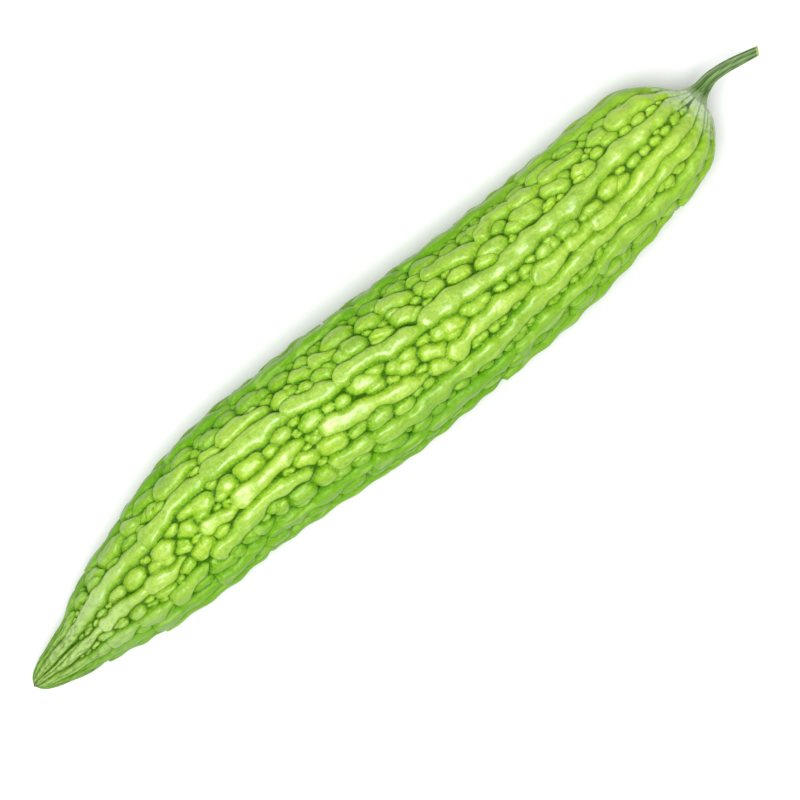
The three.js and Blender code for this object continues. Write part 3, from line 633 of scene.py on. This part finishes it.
# Painted sheen: the rib tops near the tip are painted whitish, standing in for a soft reflection there.
tip_painted_sheen = add_node(tree, "ShaderNodeMath", {"operation": "MULTIPLY"},
                     {0: near_tip.outputs["Result"], 1: crest_value.outputs["Fac"]})
skin_paints = [
    ("darker_patch", "568f12", patches.outputs["Fac"], (0.50, 0.72), 0.45),
    ("yellower_swelling", "a8c432", tint_value.outputs["Fac"], (0.3, 1.0), 0.28),
    ("greener_swelling", "659c1e", tint_value.outputs["Fac"], (0.3, 0.0), 0.32),
    ("painted_tip_sheen", "c8dcaa", tip_painted_sheen.outputs["Value"], (0.30, 0.62), 0.48),
    ("fleck", "c4dc84", flecks.outputs["Fac"], (0.50, 0.68), 0.30),
    ("dark_pore", "5c8c12", flecks.outputs["Fac"], (0.46, 0.32), 0.26),
    # Painted shade: the flanks turned away from the top are painted a deeper green, by the turned_down
    # share.
    ("painted_flank_shade", "468a08", turned_down.outputs["Fac"], (0.0, 1.0), 0.68),
    ("paler_stem_half", "b6d648", from_tip.outputs["Fac"], (190.0, 285.0), 0.28),
    ("mottle", "6b9e18", mottle.outputs["Fac"], (0.48, 0.70), 0.40),
    ("streak", "b2d060", streaks.outputs["Fac"], (0.50, 0.72), 0.42),
    ("grey_tip", "6c8c2c", from_tip.outputs["Fac"], (75.0, 6.0), 0.45),
    ("tip_wrinkle", "4c6e18", tip_wrinkles.outputs["Value"], (0.36, 0.50), 0.60),
    ("whitish_root", "c4d4b0", ragged_root.outputs["Value"], (300.5, 307.5), 0.85),
    # Painted shade: a thin dark green laid along the creases between the swellings.
    ("painted_crease_shade", "265800", crest_value.outputs["Fac"], (0.42, 0.0), 0.8),
    ("blossom_scar", "4d5626", from_tip.outputs["Fac"], (1.8, 0.6), 0.9),
]
tree.links.new(paint_over(tree, by_crest.outputs["Color"], skin_paints), shader.inputs["Base Color"])
dullness = add_node(tree, "ShaderNodeMapRange",
                    {"From Min": 0.3, "From Max": 0.7,
                     "To Min": SKIN_ROUGHNESS[0], "To Max": SKIN_ROUGHNESS[1]},
                    {"Value": mottle.outputs["Fac"]})
tree.links.new(dullness.outputs["Result"], shader.inputs["Roughness"])
most_shine = add_node(tree, "ShaderNodeMapRange", {"To Min": 0.55, "To Max": 0.2},
                      {"Value": turned_down.outputs["Fac"]})
shine = add_node(tree, "ShaderNodeMapRange", {"From Min": 0.5, "From Max": 0.95, "To Min": 0.05},
                 {"Value": crest_value.outputs["Fac"], "To Max": most_shine.outputs["Result"]})
tree.links.new(shine.outputs["Result"], shader.inputs["Specular IOR Level"])
most_wax = add_node(tree, "ShaderNodeMapRange", {"To Min": 0.5, "To Max": 0.1},
                    {"Value": turned_down.outputs["Fac"]})
wax = add_node(tree, "ShaderNodeMapRange", {"From Min": 0.7, "From Max": 1.0},
               {"Value": crest_value.outputs["Fac"], "To Max": most_wax.outputs["Result"]})
tree.links.new(wax.outputs["Result"], shader.inputs["Coat Weight"])
dimples = add_node(tree, "ShaderNodeBump", {"Strength": 0.8, "Distance": DIMPLE_DEPTH * MM},
                   {"Height": uneven.outputs["Fac"]})
pores = add_node(tree, "ShaderNodeBump", {"Strength": 0.45, "Distance": PORE_DEPTH * MM},
                 {"Height": flecks.outputs["Fac"], "Normal": dimples.outputs["Normal"]})
grain = add_node(tree, "ShaderNodeBump", {"Strength": 0.45, "Distance": GRAIN_DEPTH * MM},
                 {"Height": streaks.outputs["Fac"], "Normal": pores.outputs["Normal"]})
folds = add_node(tree, "ShaderNodeBump", {"Distance": WRINKLE_DEPTH * MM},
                 {"Strength": near_tip.outputs["Result"], "Height": wrinkles.outputs["Fac"],
                  "Normal": grain.outputs["Normal"]})
tree.links.new(folds.outputs["Normal"], shader.inputs["Normal"])
shader.inputs["IOR"].default_value = SKIN_IOR
shader.inputs["Coat Roughness"].default_value = WAX_ROUGHNESS
shader.inputs["Subsurface Weight"].default_value = SOFT_SHARE
shader.inputs["Subsurface Radius"].default_value = GREEN_SCATTER
shader.inputs["Subsurface Scale"].default_value = SOFT_DEPTH * MM
fruit.data.materials.append(skin_material)
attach(fruit, "root")
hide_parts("fruit")

# Stem
# The short stalk that the fruit hung from, a bundle of tough green fibres that grew as one with it: its
# foot widens into the fruit's end. It bends over, six ridges run along it, and it was cut off aslant.
STEM_START, STEM_END = 301.2, 328.0
STEM_RADIUS = [(STEM_START, 5.3), (302.2, 4.6), (303.2, 3.9), (304.9, 3.1), (309.4, 2.3), (314, 2.0),
               (320.7, 1.8), (STEM_END, 1.45)]
STEM_SIDEWAYS = [(STEM_START, 0.75), (305.5, 1.6), (310, 2.4), (315, 2.0), (321, 0.6), (STEM_END, -1.4)]
STEM_HEIGHT = [(STEM_START, 24.95), (309.4, 25.4), (318, 26.6), (STEM_END, 28.0)]
STEM_RIDGES, RIDGE_HEIGHT, STEM_TWIST = 6, 0.12, 0.5
BROAD_SHARE, FINE_RIDGES, FINE_SHIFT = 0.6, 3, 1.0  # three fine ridges to each of the broad ones
CUT_SLANT, CUT_NEARNESS = 0.3, 8  # the slant dies away from the cut by this power
STEM_ROWS, STEM_COLUMNS = 160, 96

stem_even = np.linspace(0, 1, STEM_ROWS)
stem_s = STEM_START + (STEM_END - STEM_START) * stem_even
stem_angle = ROUND * np.arange(STEM_COLUMNS) / STEM_COLUMNS
twisted = stem_angle[None, :] + STEM_TWIST * stem_even[:, None]
ridge = (BROAD_SHARE * np.cos(STEM_RIDGES * twisted)
         + (1 - BROAD_SHARE) * np.cos(FINE_RIDGES * STEM_RIDGES * twisted + FINE_SHIFT))
stem_radius = smooth_line(STEM_RADIUS, stem_s)[:, None] * (1 + RIDGE_HEIGHT * ridge)
centre, side, along = cross_frames(STEM_SIDEWAYS, STEM_HEIGHT, stem_s)
stem_rings = (centre[:, None] + stem_radius[..., None] * (
    np.sin(stem_angle)[None, :, None] * side[:, None] + np.cos(stem_angle)[None, :, None] * UPRIGHT))
slant = CUT_SLANT * stem_radius * np.sin(stem_angle)[None, :] * (stem_even ** CUT_NEARNESS)[:, None]
stem_rings += slant[..., None] * along[:, None] - lift
stem = tube_mesh("gourd_stem", stem_rings, centre[0] - lift, centre[-1] - lift)
point_values(stem, "ridge", ridge, 0, 0)
point_values(stem, "from_foot", stem_s[:, None] - STEM_START + 0 * ridge, 0, STEM_END - STEM_START)

# Ridged green stalk skin, firm and dull: grey green with dark lines in the grooves, paler where it grows
# out of the fruit and where it is cut. Its fibres are drawn 0.7 mm wide so that they show.
FIBRE_SIZE, FIBRE_DEPTH, ALONG_STEM = 0.7, 0.2, (0.1, 1.0, 1.0)
STALK_ROUGHNESS = 0.5

stem_material, tree, shader = new_material("ridged_stalk_skin")
coords = add_node(tree, "ShaderNodeTexCoord")
ridge_value = add_node(tree, "ShaderNodeAttribute", {"attribute_name": "ridge"})
foot_value = add_node(tree, "ShaderNodeAttribute", {"attribute_name": "from_foot"})
ridge_place = add_node(tree, "ShaderNodeMapRange", {"From Min": -1.0, "From Max": 1.0},
                       {"Value": ridge_value.outputs["Fac"]})
by_ridge = add_node(tree, "ShaderNodeValToRGB", links={"Fac": ridge_place.outputs["Result"]})
set_ramp(by_ridge, [(0.0, "2a3e16"), (0.3, "426026"), (0.6, "5a7e36"), (1.0, "709448")])
lengthwise = add_node(tree, "ShaderNodeMapping", {"Scale": ALONG_STEM},
                      {"Vector": coords.outputs["Object"]})
fibres = add_node(tree, "ShaderNodeTexNoise", {"Scale": 1 / (FIBRE_SIZE * MM), "Detail": 3.0},
                  {"Vector": lengthwise.outputs["Vector"]})
stalk_paints = [
    ("dark_fibre", "304a18", fibres.outputs["Fac"], (0.52, 0.68), 0.7),
    ("pale_fibre", "93ab70", fibres.outputs["Fac"], (0.46, 0.32), 0.35),
    ("pale_foot", "b4c894", foot_value.outputs["Fac"], (3.2, 0.4), 0.6),
    ("cut_end", "a6b65c", foot_value.outputs["Fac"], (25.8, 26.4), 0.8),
]
tree.links.new(paint_over(tree, by_ridge.outputs["Color"], stalk_paints), shader.inputs["Base Color"])
shader.inputs["Roughness"].default_value = STALK_ROUGHNESS
grooves = add_node(tree, "ShaderNodeBump", {"Strength": 0.5, "Distance": FIBRE_DEPTH * MM},
                   {"Height": fibres.outputs["Fac"]})
tree.links.new(grooves.outputs["Normal"], shader.inputs["Normal"])
stem.data.materials.append(stem_material)
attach(stem, "root")
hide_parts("stem")

# Surface
# The plain table that the gourd lies on, painted matt white, which gives an even white with a soft shadow.
# It is there for the picture alone and is no piece of the object.
HALF_TABLE = 3.0  # in metres
corners = [(-HALF_TABLE, -HALF_TABLE, 0), (HALF_TABLE, -HALF_TABLE, 0), (HALF_TABLE, HALF_TABLE, 0),
           (-HALF_TABLE, HALF_TABLE, 0)]
floor_mesh = bpy.data.meshes.new("pale_table")
floor_mesh.from_pydata(corners, [], [(0, 1, 2, 3)])
floor = bpy.data.objects.new("pale_table", floor_mesh)
bpy.context.scene.collection.objects.link(floor)
floor_material, tree, shader = new_material("matt_white_table")
shader.inputs["Base Color"].default_value = linear("efefee")
shader.inputs["Roughness"].default_value = 0.9
floor_mesh.materials.append(floor_material)
